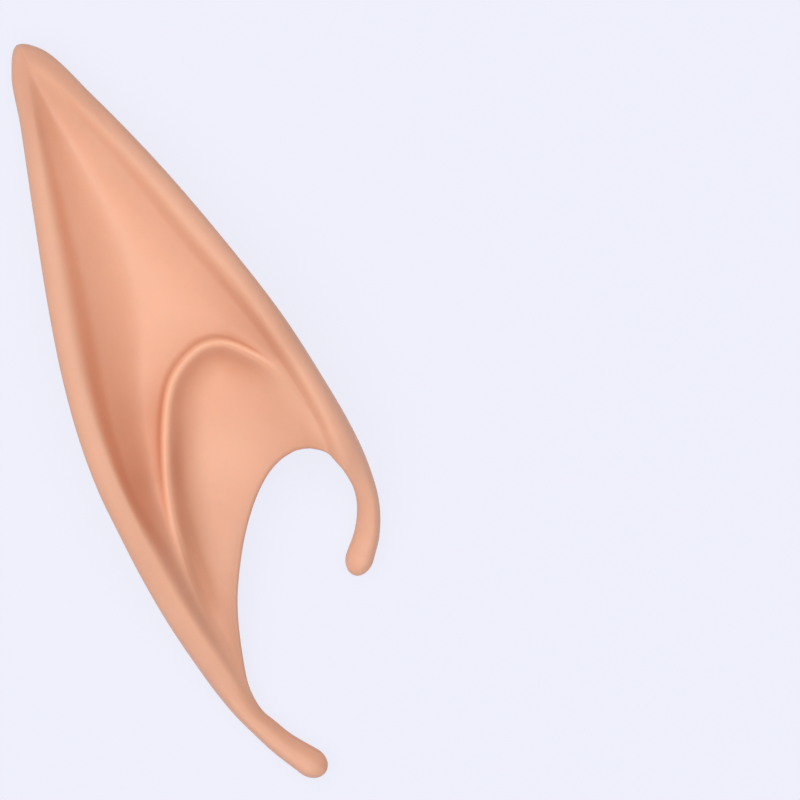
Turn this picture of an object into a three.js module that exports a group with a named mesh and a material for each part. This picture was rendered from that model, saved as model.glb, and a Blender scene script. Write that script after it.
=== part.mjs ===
// Pointed ear tip: one soft hollow casting that slips over the top of the wearer's own ear.
// Millimetres, +Z up. It lies on its back: tip towards +Y, rear rim towards -X, front rim
// towards +X. The wearer's ear goes in from -Y, through the cut-out, into the pocket.
import * as THREE from "three";

// Overall sizes
const LENGTH = 120;        // end of the lobe tail to the tip
const SPAN = 39.4;         // rear rim to the outside of the front tail
const DEPTH = 16.5;        // back of the ear to the crest of the front rim

// Walls and rims
const WALL = 1.4;          // thickness of the front and the back wall
const RIM_INSET = 2.2;     // outline to the crest of the rolled rim
const RIM_DROP = 2;        // crest of the rim down to the outline
const RIM_SOLID = 3.2;     // outline to the pocket, measured square to the outline
const TIP_SOLID = 9;       // extra solid length in the tip
const BACK_ROUND = 10;     // outline to where the back lies flat
const LIP_ROLL = 2.8;      // width of the soft roll along the cut-out
const LIP_DROP = 1;        // how far the face rolls down there
const MOUTH_RECESS = 2.6;  // how far the back wall stops short of the front wall
const POCKET_ROUND = 1.2;  // how far the pocket's inner edge is rounded out
const POCKET_GAP = 0.6;    // least height of the pocket

// Relief of the front face
const RIDGE_HEIGHT = 1.25; // arch ridge above the face
const RIDGE_OUTER = 0.8;   // half width of the ridge on the side of the trough
const RIDGE_INNER = 1.6;   // half width of the ridge on the side of the bowl
const APRON_HEIGHT = 0.7;  // broad swell that carries the ridge
const APRON_WIDTH = 3;     // half width of that swell
const BOWL_SIDE = 6.5;     // width of the bowl's sloping side
const CREST_GAP = 0.3;     // least distance from the crease to a rim's crest
const CREST_BLEND = 3;     // half width over which rear and front rim heights blend
const SLOPE_STEP = 0.4;    // distance over which the walls' slope is measured

// Rounded ends of the two tails
const LOBE_CAP = 4.6;
const FRONT_CAP = 2.9;

// Shares
const RIM_FOOT = 0.5;      // least height of the outline, of the rim's crest
const CREASE_SOFT = 0.12;  // how much of a side wall is taken up by rounding out the crease
const CREST_ROUND = 0.4;   // how much of a side wall is taken up by rounding over to the crest
const LEAST_RISE = 0.6;    // steepest start of a side wall
const WALL_LIMIT = 2;      // greatest height of a sloping wall, in wall thicknesses
const HALF_RIB = 0.45;     // most of a rib that a rim or the back's rounding may take
const ROOT_LIMIT = 0.6;    // most of a rib that the solid rim may take
const RECESS_LIMIT = 0.25; // most of a rib that the back wall may stop short by
const TAIL_SQUARE = 0.85;  // roundness of a tail's section, 1 for an oval
const TAIL_LEAN = 0.12;    // how much higher a tail's section is towards the outline
const TAIL_NOSE = 0.3;     // share of a half turn given to a tail's side at the cut-out

// Ribs run from the outline to the edge of the cut-out, starting at the lobe tail and going
// round the tip to the front tail. Places are shares of SPAN and LENGTH, heights are shares
// of DEPTH. tail is 1 where the rib is a solid round tail and 0 where it is a hollow shell,
// and tip is 1 where the pocket stops short of the tip.
const RIB_COLUMNS = ["outerX", "outerY", "innerX", "innerY", "tail", "top", "bottom", "tip"];
const RIBS = [
  [-0.200, 0.024, -0.107, 0.041, 1.0, 0.25, 0.00, 0.0],
  [-0.262, 0.056, -0.160, 0.067, 1.0, 0.25, 0.00, 0.0],
  [-0.306, 0.082, -0.207, 0.087, 1.0, 0.26, 0.00, 0.0],
  [-0.343, 0.110, -0.243, 0.108, 1.0, 0.28, 0.00, 0.0],
  [-0.378, 0.146, -0.251, 0.136, 0.8, 0.33, 0.00, 0.0],
  [-0.414, 0.196, -0.224, 0.185, 0.4, 0.43, 0.00, 0.0],
  [-0.447, 0.252, -0.173, 0.242, 0.1, 0.55, 0.00, 0.0],
  [-0.472, 0.314, -0.102, 0.289, 0.0, 0.60, 0.00, 0.0],
  [-0.488, 0.378, -0.023, 0.329, 0.0, 0.60, 0.00, 0.0],
  [-0.499, 0.444, 0.061, 0.361, 0.0, 0.60, 0.00, 0.0],
  [-0.490, 0.514, 0.132, 0.380, 0.0, 0.60, 0.00, 0.0],
  [-0.459, 0.592, 0.188, 0.389, 0.0, 0.60, 0.00, 0.0],
  [-0.404, 0.683, 0.228, 0.392, 0.0, 0.60, 0.00, 0.0],
  [-0.322, 0.796, 0.259, 0.393, 0.0, 0.60, 0.00, 0.1],
  [-0.241, 0.904, 0.279, 0.392, 0.0, 0.60, 0.00, 0.4],
  [-0.198, 0.968, 0.292, 0.391, 0.0, 0.60, 0.00, 0.9],
  [-0.137, 1.000, 0.302, 0.390, 0.0, 0.60, 0.00, 1.0],
  [-0.052, 0.983, 0.311, 0.389, 0.0, 0.60, 0.00, 0.6],
  [0.064, 0.902, 0.322, 0.387, 0.0, 0.60, 0.00, 0.2],
  [0.200, 0.789, 0.336, 0.384, 0.0, 0.60, 0.00, 0.0],
  [0.327, 0.660, 0.353, 0.380, 0.0, 0.81, 0.04, 0.0],
  [0.412, 0.557, 0.369, 0.373, 0.0, 0.84, 0.11, 0.0],
  [0.462, 0.467, 0.384, 0.362, 0.3, 0.82, 0.22, 0.0],
  [0.492, 0.394, 0.399, 0.346, 0.8, 0.74, 0.29, 0.0],
  [0.497, 0.342, 0.408, 0.322, 1.0, 0.58, 0.25, 0.0],
  [0.479, 0.293, 0.395, 0.300, 1.0, 0.42, 0.14, 0.0],
  [0.431, 0.254, 0.352, 0.273, 1.0, 0.31, 0.05, 0.0],
  [0.372, 0.227, 0.287, 0.249, 1.0, 0.26, 0.00, 0.0],
];

// Cross sections of the front face, each at its share y of LENGTH. The rear rim, the crease
// of the long trough and the front rim are at shares of SPAN, their heights are shares of
// DEPTH. rearRise and frontRise say how late the face climbs from the crease to each rim.
// Inside the arch the face is the bowl's: floorZ is its height, floorRise how late it climbs.
const SECTION_COLUMNS = [
  "y", "rearX", "creaseX", "frontX", "rearZ", "creaseZ", "frontZ", "rearRise", "frontRise",
  "floorZ", "floorRise",
];
const SECTIONS = [
  [0.00, -0.190, -0.130, 0.10, 0.24, 0.24, 0.24, 1.0, 1.0, 0.24, 1.6],
  [0.10, -0.330, -0.260, 0.20, 0.29, 0.26, 0.29, 1.0, 1.5, 0.26, 1.6],
  [0.18, -0.400, -0.268, 0.32, 0.45, 0.32, 0.47, 1.0, 2.5, 0.32, 1.6],
  [0.26, -0.450, -0.264, 0.45, 0.67, 0.46, 0.68, 1.0, 4.5, 0.40, 1.6],
  [0.34, -0.480, -0.285, 0.50, 0.83, 0.62, 0.81, 1.2, 5.0, 0.48, 1.6],
  [0.41, -0.495, -0.310, 0.49, 0.91, 0.67, 0.89, 1.4, 5.0, 0.49, 1.8],
  [0.48, -0.497, -0.275, 0.46, 0.94, 0.64, 0.94, 1.5, 4.5, 0.47, 2.8],
  [0.55, -0.475, -0.200, 0.42, 0.95, 0.62, 0.98, 1.5, 2.8, 0.46, 8.0],
  [0.62, -0.445, -0.117, 0.37, 0.91, 0.59, 1.00, 1.5, 2.1, 0.46, 8.0],
  [0.70, -0.392, -0.062, 0.29, 0.82, 0.55, 0.92, 1.5, 1.6, 0.55, 2.0],
  [0.79, -0.327, -0.069, 0.20, 0.69, 0.51, 0.80, 1.5, 1.2, 0.51, 2.0],
  [0.88, -0.262, -0.100, 0.09, 0.52, 0.43, 0.61, 1.4, 0.9, 0.43, 2.0],
  [0.94, -0.215, -0.119, 0.01, 0.40, 0.36, 0.45, 1.2, 0.8, 0.36, 2.0],
  [1.00, -0.160, -0.130, -0.10, 0.30, 0.30, 0.30, 1.0, 1.0, 0.30, 2.0],
];

// The line of the arch ridge round the bowl: from the cut-out up inside the front rim, over
// the top, down the rear side and on along the crease.
// strength is the share of the full ridge height.
const ARCH_COLUMNS = ["x", "y", "strength"];
const ARCH = [
  [0.440, 0.340, 0.0],
  [0.412, 0.385, 0.0],
  [0.370, 0.427, 0.0],
  [0.338, 0.462, 0.0],
  [0.314, 0.485, 0.1],
  [0.288, 0.506, 0.4],
  [0.241, 0.528, 0.8],
  [0.165, 0.553, 1.0],
  [0.085, 0.560, 1.0],
  [0.010, 0.553, 1.0],
  [-0.065, 0.537, 1.0],
  [-0.119, 0.514, 1.0],
  [-0.178, 0.476, 1.0],
  [-0.221, 0.440, 0.65],
  [-0.255, 0.404, 0.40],
  [-0.280, 0.368, 0.35],
  [-0.289, 0.335, 0.1],
  [-0.285, 0.300, 0.0],
  [-0.272, 0.250, 0.0],
  [-0.262, 0.180, 0.0],
];
const BOWL_FROM = 0.20;    // share of LENGTH where the bowl starts to sink
const BOWL_FULL = 0.36;    // share of LENGTH where it has its full depth

// Fineness of the faceted solid
const STATIONS = 104;
const STATION_EVENNESS = 0.5;  // 1 spaces the ribs evenly along the outline, 0 follows the table
const FACE_CROWDING = 1.2;     // over 1 crowds the face's points towards the rim
const BOWL_CROWDING = 1.2;     // over 1 crowds the bowl's points towards the arch
const PLAIN_REACH = 0.125;     // share of the face that stands for the ridge where there is none
const LEAST_STRENGTH = 0.02;   // weakest ridge that the points follow
const ROOF_NEAR = 0.3;         // least share of the pocket's roof from its root to the ridge
const ROOF_FAR = 0.5;          // least share from its root to the far side of the ridge
const LINE_STEPS = 160;
const RIM_STEPS = 5;
const FACE_STEPS = 5;
const ARCH_STEPS = 4;
const BOWL_STEPS = 5;
const LIP_STEPS = 3;
const POCKET_STEPS = 4;
const ROOF_STEPS = BOWL_STEPS + 3;
const ROOT_STEPS = 3;
const BACK_STEPS = 5;
const CAP_STEPS = 4;

const mix = THREE.MathUtils.lerp;
const clamp = THREE.MathUtils.clamp;
const smooth = (value, from, to) => THREE.MathUtils.smoothstep(value, from, to);

// One named column of a table.
function column(table, columns, name) {
  const index = columns.indexOf(name);
  return table.map((row) => row[index]);
}

// Smooth curve through table rows: a cubic whose slope at each row is that of its neighbours.
function cubic(places, values, place) {
  const last = places.length - 1;
  const at = clamp(place, places[0], places[last]);
  let i = 0;
  while (i < last - 1 && places[i + 1] < at) i += 1;
  const slope = (k) => {
    const low = Math.max(k - 1, 0);
    const high = Math.min(k + 1, last);
    return (values[high] - values[low]) / (places[high] - places[low]);
  };
  const step = places[i + 1] - places[i];
  const t = (at - places[i]) / step;
  const t2 = t * t;
  const t3 = t2 * t;
  return (2 * t3 - 3 * t2 + 1) * values[i] + (t3 - 2 * t2 + t) * step * slope(i)
    + (3 * t2 - 2 * t3) * values[i + 1] + (t3 - t2) * step * slope(i + 1);
}

// A smooth curve through places given as shares of SPAN and LENGTH.
function curveThrough(xs, ys) {
  const points = xs.map((x, i) => new THREE.Vector3(x * SPAN, ys[i] * LENGTH, 0));
  const curve = new THREE.CatmullRomCurve3(points);
  curve.arcLengthDivisions = LINE_STEPS * 8;
  return curve;
}

// Distance from a point to a line of points, its side (1 on the left of the way the line
// runs, -1 on the right) and its share of the way along.
function nearest(line, x, y) {
  let best = { distance: Infinity, side: 0, share: 0 };
  for (let i = 0; i < line.length - 1; i += 1) {
    const dx = line[i + 1].x - line[i].x;
    const dy = line[i + 1].y - line[i].y;
    const px = x - line[i].x;
    const py = y - line[i].y;
    const t = clamp((px * dx + py * dy) / (dx * dx + dy * dy), 0, 1);
    const distance = Math.hypot(px - t * dx, py - t * dy);
    if (distance < best.distance) {
      const side = Math.sign(dx * py - dy * px);
      best = { distance, side, share: (i + t) / (line.length - 1) };
    }
  }
  return best;
}

const outerRail = curveThrough(column(RIBS, RIB_COLUMNS, "outerX"), column(RIBS, RIB_COLUMNS, "outerY"));
const innerRail = curveThrough(column(RIBS, RIB_COLUMNS, "innerX"), column(RIBS, RIB_COLUMNS, "innerY"));
const archCurve = curveThrough(column(ARCH, ARCH_COLUMNS, "x"), column(ARCH, ARCH_COLUMNS, "y"));
const outline = outerRail.getPoints(LINE_STEPS);
const cutOut = innerRail.getPoints(LINE_STEPS);
const archLine = archCurve.getPoints(LINE_STEPS);

const sectionColumns = Object.fromEntries(
  SECTION_COLUMNS.map((name) => [name, column(SECTIONS, SECTION_COLUMNS, name)]),
);
const ribColumns = Object.fromEntries(RIB_COLUMNS.map((name) => [name, column(RIBS, RIB_COLUMNS, name)]));
const ribPlaces = RIBS.map((row, i) => i / (RIBS.length - 1));
const archStrength = column(ARCH, ARCH_COLUMNS, "strength");
const archPlaces = ARCH.map((row, i) => i / (ARCH.length - 1));

// The cross section at y: places and heights in millimetres.
function sectionAt(y) {
  const value = (name) => cubic(sectionColumns.y, sectionColumns[name], y / LENGTH);
  return {
    rearX: value("rearX") * SPAN,
    creaseX: value("creaseX") * SPAN,
    frontX: value("frontX") * SPAN,
    rearZ: value("rearZ") * DEPTH,
    creaseZ: value("creaseZ") * DEPTH,
    frontZ: value("frontZ") * DEPTH,
    floorZ: value("floorZ") * DEPTH,
    rearRise: value("rearRise"),
    frontRise: value("frontRise"),
    floorRise: value("floorRise"),
  };
}

// How a side wall climbs from the crease (0) to the crest (1): softly out of the crease,
// steeper the later it rises, and rounded over at the crest.
function climb(t, rise) {
  const soft = t * t * (1 + CREASE_SOFT) / (t + CREASE_SOFT);
  const rounded = 1 - 2 * (1 - t) * (1 - t);
  return mix(soft ** rise, rounded, smooth(t, 1 - CREST_ROUND / Math.max(rise, LEAST_RISE), 1));
}

// Height of the front face inside the rims. ridge is 1 with the arch ridge and 0 without.
function reliefAt(x, y, ridge) {
  const s = sectionAt(y);
  const rearCrest = Math.min(s.rearX + RIM_INSET, s.creaseX - CREST_GAP);
  const frontCrest = Math.max(s.frontX - RIM_INSET, s.creaseX + CREST_GAP);
  const rear = clamp((s.creaseX - x) / (s.creaseX - rearCrest), 0, 1);
  const front = clamp((x - s.creaseX) / (frontCrest - s.creaseX), 0, 1);
  const face = x < s.creaseX
    ? mix(s.creaseZ, s.rearZ, climb(rear, s.rearRise))
    : mix(s.creaseZ, s.frontZ, climb(front, s.frontRise));
  const floor = mix(s.floorZ, s.frontZ, climb(front, s.floorRise));
  const arch = nearest(archLine, x, y);
  const inside = arch.side > 0 ? arch.distance : 0;
  const left = 1 - clamp(inside / BOWL_SIDE, 0, 1);
  const sunk = (1 - left * left) * smooth(y / LENGTH, BOWL_FROM, BOWL_FULL);
  const width = arch.side > 0 ? RIDGE_INNER : RIDGE_OUTER;
  const crest = ridge * RIDGE_HEIGHT * Math.exp(-((arch.distance / width) ** 2));
  const apron = APRON_HEIGHT * Math.exp(-((arch.distance / APRON_WIDTH) ** 2));
  return mix(face, floor, sunk) + (crest + apron) * strengthAt(arch.share);
}

const strengthAt = (share) => cubic(archPlaces, archStrength, share);

// Height of the rim's crest at a place on the ear.
function crestAt(x, y) {
  const s = sectionAt(y);
  return mix(s.rearZ, s.frontZ, smooth(x - s.creaseX, -CREST_BLEND, CREST_BLEND));
}

// The distance over which an edge is rounded, smaller where the ear itself gets narrow.
function roundingAt(y, wanted) {
  const s = sectionAt(y);
  const half = Math.max((s.frontX - s.rearX) / 2, 0.5);
  return (wanted ** -4 + half ** -4) ** -0.25;
}

// Quarter round: 0 at the edge, 1 from the given distance on.
function quarterRound(distance, over) {
  const r = 1 - clamp(distance / over, 0, 1);
  return Math.sqrt(1 - r * r);
}

// Height of the outline above the table.
function edgeHeight(x, y, rib) {
  const crest = crestAt(x, y);
  return Math.max(crest - RIM_DROP, mix(rib.bottom, crest, RIM_FOOT));
}

// How far the face rolls down near the cut-out.
function rollAt(x, y) {
  return LIP_DROP * (1 - quarterRound(nearest(cutOut, x, y).distance, LIP_ROLL));
}

function frontHeight(x, y, rib) {
  const edge = edgeHeight(x, y, rib);
  const rim = quarterRound(nearest(outline, x, y).distance, roundingAt(y, RIM_INSET));
  return edge + (reliefAt(x, y, 1) - edge) * rim - rollAt(x, y);
}

function backHeight(x, y, rib) {
  const edge = edgeHeight(x, y, rib);
  return mix(edge, rib.bottom, quarterRound(nearest(outline, x, y).distance, roundingAt(y, BACK_ROUND)));
}

// Height that a wall of thickness WALL takes up on a slope.
function slopedWall(height, x, y) {
  const sx = (height(x + SLOPE_STEP, y) - height(x - SLOPE_STEP, y)) / (2 * SLOPE_STEP);
  const sy = (height(x, y + SLOPE_STEP) - height(x, y - SLOPE_STEP)) / (2 * SLOPE_STEP);
  return WALL * Math.min(Math.hypot(1, sx, sy), WALL_LIMIT);
}

// The pocket lies between the two walls, and is a slit where they would meet.
function pocketTop(x, y, rib) {
  const face = (px, py) => reliefAt(px, py, 0);
  const outer = face(x, y) - rollAt(x, y);
  const middle = (outer + backHeight(x, y, rib)) / 2;
  return Math.max(outer - slopedWall(face, x, y), middle + POCKET_GAP / 2);
}

function pocketFloor(x, y, rib) {
  const back = (px, py) => backHeight(px, py, rib);
  return Math.min(back(x, y) + slopedWall(back, x, y), pocketTop(x, y, rib) - POCKET_GAP);
}

// Everything about one rib: its ends, its direction and its table values in millimetres.
function ribAt(share) {
  const t = mix(share, outerRail.getUtoTmapping(share), STATION_EVENNESS);
  const outer = outerRail.getPoint(t);
  const inner = innerRail.getPoint(t);
  const along = inner.clone().sub(outer);
  const width = along.length();
  along.normalize();
  const edge = outerRail.getTangent(t);
  const value = (name) => cubic(ribPlaces, ribColumns[name], t);
  return {
    outer,
    inner,
    along,
    width,
    slant: Math.abs(along.x * edge.y - along.y * edge.x),
    tail: clamp(value("tail"), 0, 1),
    top: value("top") * DEPTH,
    bottom: value("bottom") * DEPTH,
    tip: clamp(value("tip"), 0, 1),
  };
}

const pointOn = (rib, distance) => rib.outer.clone().addScaledVector(rib.along, distance);

// Where a rib crosses the arch ridge, and how far the ridge reaches along it on each side.
// A rib that doesn't cross it gets the middle of the face.
function archOn(rib, from, to) {
  for (let i = 0; i < archLine.length - 1; i += 1) {
    const a = archLine[i];
    const d = archLine[i + 1].clone().sub(a);
    const turn = rib.along.x * d.y - rib.along.y * d.x;
    const gapX = a.x - rib.outer.x;
    const gapY = a.y - rib.outer.y;
    const distance = (gapX * d.y - gapY * d.x) / turn;
    const share = (gapX * rib.along.y - gapY * rib.along.x) / turn;
    const crossed = share >= 0 && share <= 1;
    const near = distance - 2 * RIDGE_OUTER * d.length() / Math.abs(turn);
    const far = distance + RIDGE_INNER * d.length() / Math.abs(turn);
    const strength = strengthAt((i + share) / (archLine.length - 1));
    if (crossed && strength > LEAST_STRENGTH && near > from && far < to) return { near, far };
  }
  return { near: mix(from, to, 0.5 - PLAIN_REACH), far: mix(from, to, 0.5 + PLAIN_REACH) };
}

// Distances along a rib where the front face has its points: over the rolled rim, down to
// the arch, over the ridge and through the bowl to the lip.
function faceDistances(rib, rimEnd, lipStart) {
  const { near, far } = archOn(rib, rimEnd, lipStart);
  const distances = [];
  for (let i = 0; i < RIM_STEPS; i += 1) {
    distances.push(rimEnd * (1 - Math.cos((Math.PI / 2) * (i / RIM_STEPS))));
  }
  for (let i = 0; i < FACE_STEPS; i += 1) {
    distances.push(mix(rimEnd, near, (i / FACE_STEPS) ** FACE_CROWDING));
  }
  for (let i = 0; i < ARCH_STEPS; i += 1) distances.push(mix(near, far, i / ARCH_STEPS));
  for (let i = 0; i <= BOWL_STEPS; i += 1) {
    distances.push(mix(far, lipStart, (i / BOWL_STEPS) ** BOWL_CROWDING));
  }
  return distances;
}

// Distances along a rib where the pocket's roof has its points: under those of the face, from
// the lip to the root.
function roofDistances(rib, rimEnd, lipStart, root) {
  const arch = archOn(rib, rimEnd, lipStart);
  const near = Math.max(arch.near, mix(root, lipStart, ROOF_NEAR));
  const far = Math.max(arch.far, mix(root, lipStart, ROOF_FAR));
  const distances = [];
  for (let i = BOWL_STEPS - 1; i >= 0; i -= 1) {
    distances.push(mix(far, lipStart, (i / BOWL_STEPS) ** BOWL_CROWDING));
  }
  distances.push(near, (near + root) / 2, root);
  return distances;
}

// The closed section of the hollow shell along one rib: over the rim and the front face to
// the cut-out, round the lip, into the pocket and out again, round the lip of the back wall
// and along the back to the outline.
function shellSection(rib) {
  const radius = WALL / 2;
  const points = [];
  const add = (distance, height) => {
    const p = pointOn(rib, distance);
    points.push(new THREE.Vector3(p.x, p.y, height(p.x, p.y)));
  };
  const front = (x, y) => frontHeight(x, y, rib);
  const back = (x, y) => backHeight(x, y, rib);
  const ceiling = (x, y) => pocketTop(x, y, rib);
  const floor = (x, y) => pocketFloor(x, y, rib);
  const half = HALF_RIB * rib.width;

  const rimEnd = Math.min(RIM_INSET / rib.slant, half);
  const lipStart = rib.width - radius;
  faceDistances(rib, rimEnd, lipStart).forEach((distance) => add(distance, front));

  const lip = pointOn(rib, lipStart);
  addLip(points, rib, lipStart, front(lip.x, lip.y), ceiling(lip.x, lip.y));

  const root = Math.min(RIM_SOLID / rib.slant + TIP_SOLID * rib.tip, ROOT_LIMIT * rib.width);
  roofDistances(rib, rimEnd, lipStart, root).forEach((distance) => add(distance, ceiling));
  const high = points[points.length - 1].z;
  const rootPlace = pointOn(rib, root);
  const low = floor(rootPlace.x, rootPlace.y);
  for (let i = 1; i < ROOT_STEPS; i += 1) {
    const turn = Math.PI * (i / ROOT_STEPS);
    const p = pointOn(rib, root - POCKET_ROUND * Math.sin(turn));
    points.push(new THREE.Vector3(p.x, p.y, mix(high, low, (1 - Math.cos(turn)) / 2)));
  }

  const backLip = rib.width - Math.min(MOUTH_RECESS, RECESS_LIMIT * rib.width) - radius;
  for (let i = 0; i <= POCKET_STEPS; i += 1) add(mix(root, backLip, i / POCKET_STEPS), floor);
  const end = pointOn(rib, backLip);
  addLip(points, rib, backLip, points[points.length - 1].z, back(end.x, end.y));

  const backEnd = Math.min(BACK_ROUND / rib.slant, half);
  for (let i = 1; i <= BACK_STEPS; i += 1) add(mix(backLip, backEnd, i / BACK_STEPS), back);
  for (let i = RIM_STEPS - 1; i > 0; i -= 1) {
    add(backEnd * (1 - Math.cos((Math.PI / 2) * (i / RIM_STEPS))), back);
  }
  return points;
}

// Half round from the upper to the lower face of a wall's free edge. The point on the upper
// face is there already.
function addLip(points, rib, distance, top, bottom) {
  for (let i = 1; i <= LIP_STEPS; i += 1) {
    const turn = Math.PI * (i / LIP_STEPS);
    const p = pointOn(rib, distance + (WALL / 2) * Math.sin(turn));
    points.push(new THREE.Vector3(p.x, p.y, mix(top, bottom, (1 - Math.cos(turn)) / 2)));
  }
}

// The closed section of a solid tail along one rib, an oval with as many points as the shell.
function tailSection(rib) {
  const faceCount = RIM_STEPS + FACE_STEPS + ARCH_STEPS + BOWL_STEPS;
  const noseCount = 2 * LIP_STEPS + ROOF_STEPS + POCKET_STEPS + ROOT_STEPS;
  const backCount = BACK_STEPS + RIM_STEPS;
  const nose = TAIL_NOSE * Math.PI;
  const middle = (rib.top + rib.bottom) / 2;
  const bulge = (value) => Math.sign(value) * Math.abs(value) ** TAIL_SQUARE;
  const oval = (turn) => {
    const p = pointOn(rib, (rib.width / 2) * (1 + bulge(Math.cos(turn))));
    const lean = 1 - TAIL_LEAN * Math.cos(turn) * Math.max(Math.sin(turn), 0);
    const height = ((rib.top - rib.bottom) / 2) * bulge(Math.sin(turn)) * lean;
    return new THREE.Vector3(p.x, p.y, middle + height);
  };
  const points = [];
  for (let i = 0; i <= faceCount; i += 1) points.push(oval(mix(Math.PI, nose, i / faceCount)));
  for (let i = 1; i <= noseCount; i += 1) points.push(oval(mix(nose, -nose, i / noseCount)));
  for (let i = 1; i < backCount; i += 1) points.push(oval(mix(-nose, -Math.PI, i / backCount)));
  return points;
}

// A rib's section: the shell where tail is 0, the oval where it is 1, a mix in between.
function sectionOf(rib) {
  const oval = tailSection(rib);
  if (rib.tail >= 1) return oval;
  return shellSection(rib).map((point, i) => point.lerp(oval[i], rib.tail));
}

// Rings that close a tail: each is the end section, drawn in and pushed out like a dome.
function capRings(section, before, reach) {
  const centre = middleOf(section);
  const out = centre.clone().sub(middleOf(before));
  out.z = 0;
  out.normalize();
  const rings = [];
  for (let i = 1; i <= CAP_STEPS; i += 1) {
    const turn = (Math.PI / 2) * (i / (CAP_STEPS + 1));
    rings.push(section.map((point) => point.clone().sub(centre).multiplyScalar(Math.cos(turn))
      .add(centre).addScaledVector(out, reach * Math.sin(turn))));
  }
  return { rings, pole: centre.clone().addScaledVector(out, reach) };
}

function middleOf(points) {
  const sum = new THREE.Vector3();
  points.forEach((point) => sum.add(point));
  return sum.divideScalar(points.length);
}

// One closed mesh from rings of equal length and a pole at each end.
function closedLoft(rings, firstPole, lastPole) {
  const count = rings[0].length;
  const vertices = [firstPole, ...rings.flat(), lastPole];
  const index = [];
  const at = (ring, i) => 1 + ring * count + (i % count);
  const end = vertices.length - 1;
  for (let i = 0; i < count; i += 1) {
    index.push(0, at(0, i + 1), at(0, i));
    index.push(end, at(rings.length - 1, i), at(rings.length - 1, i + 1));
    for (let ring = 0; ring < rings.length - 1; ring += 1) {
      index.push(at(ring, i), at(ring, i + 1), at(ring + 1, i + 1));
      index.push(at(ring, i), at(ring + 1, i + 1), at(ring + 1, i));
    }
  }
  const geometry = new THREE.BufferGeometry().setFromPoints(vertices);
  geometry.setIndex(index);
  return geometry;
}

function earGeometry() {
  const sections = [];
  for (let i = 0; i < STATIONS; i += 1) sections.push(sectionOf(ribAt(i / (STATIONS - 1))));
  const lobe = capRings(sections[0], sections[1], LOBE_CAP);
  const front = capRings(sections[STATIONS - 1], sections[STATIONS - 2], FRONT_CAP);
  const rings = [...lobe.rings.reverse(), ...sections, ...front.rings];
  const geometry = closedLoft(rings, lobe.pole, front.pole);
  geometry.computeBoundingBox();
  const box = geometry.boundingBox;
  geometry.translate(-(box.min.x + box.max.x) / 2, -(box.min.y + box.max.y) / 2, -box.min.z);
  geometry.computeVertexNormals();
  return geometry;
}

const latex = new THREE.MeshStandardMaterial({ color: 0xe8a883, roughness: 0.55, metalness: 0 });
const ear = new THREE.Group();
const shell = new THREE.Mesh(earGeometry(), latex);
shell.name = "ear_shell";
ear.add(shell);

export default ear;
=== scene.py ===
"""Pointed ear tip in soft peach latex, seen from straight above on a pale floor.

The ear is one hollow casting. Its surface is lofted with numpy: ribs run from the outline to
the edge of the cut-out, and each rib carries one closed section of the wall. Places in the
tables are shares of the span across, the length along and the depth up. Lengths are in
metres, x runs from the rear rim to the front, y from the lobe tail to the tip, z upwards.
"""

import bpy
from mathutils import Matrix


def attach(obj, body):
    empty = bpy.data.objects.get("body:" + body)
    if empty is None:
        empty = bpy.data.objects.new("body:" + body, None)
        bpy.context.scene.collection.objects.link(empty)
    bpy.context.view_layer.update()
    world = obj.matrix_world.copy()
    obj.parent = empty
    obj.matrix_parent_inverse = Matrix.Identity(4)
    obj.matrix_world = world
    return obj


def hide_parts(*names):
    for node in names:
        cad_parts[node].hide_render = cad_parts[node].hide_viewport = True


bl_info = {
    "name": "Pointed ear tip",
    "version": (1, 0, 0),
    "blender": (4, 5, 0),
    "location": "View3D > Sidebar > Ear tip",
    "description": "Builds a soft latex ear tip and a plain studio round it",
    "category": "Add Mesh",
}

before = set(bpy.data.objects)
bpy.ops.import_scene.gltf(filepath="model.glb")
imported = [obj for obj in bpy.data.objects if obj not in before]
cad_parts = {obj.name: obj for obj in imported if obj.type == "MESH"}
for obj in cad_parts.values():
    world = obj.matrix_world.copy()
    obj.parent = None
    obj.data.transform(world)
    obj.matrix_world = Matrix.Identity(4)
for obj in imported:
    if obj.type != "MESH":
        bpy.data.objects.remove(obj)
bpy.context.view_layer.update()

import math

import bpy
import numpy as np
from mathutils import Euler, Vector

EAR_NODE = "ear_shell"

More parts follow.
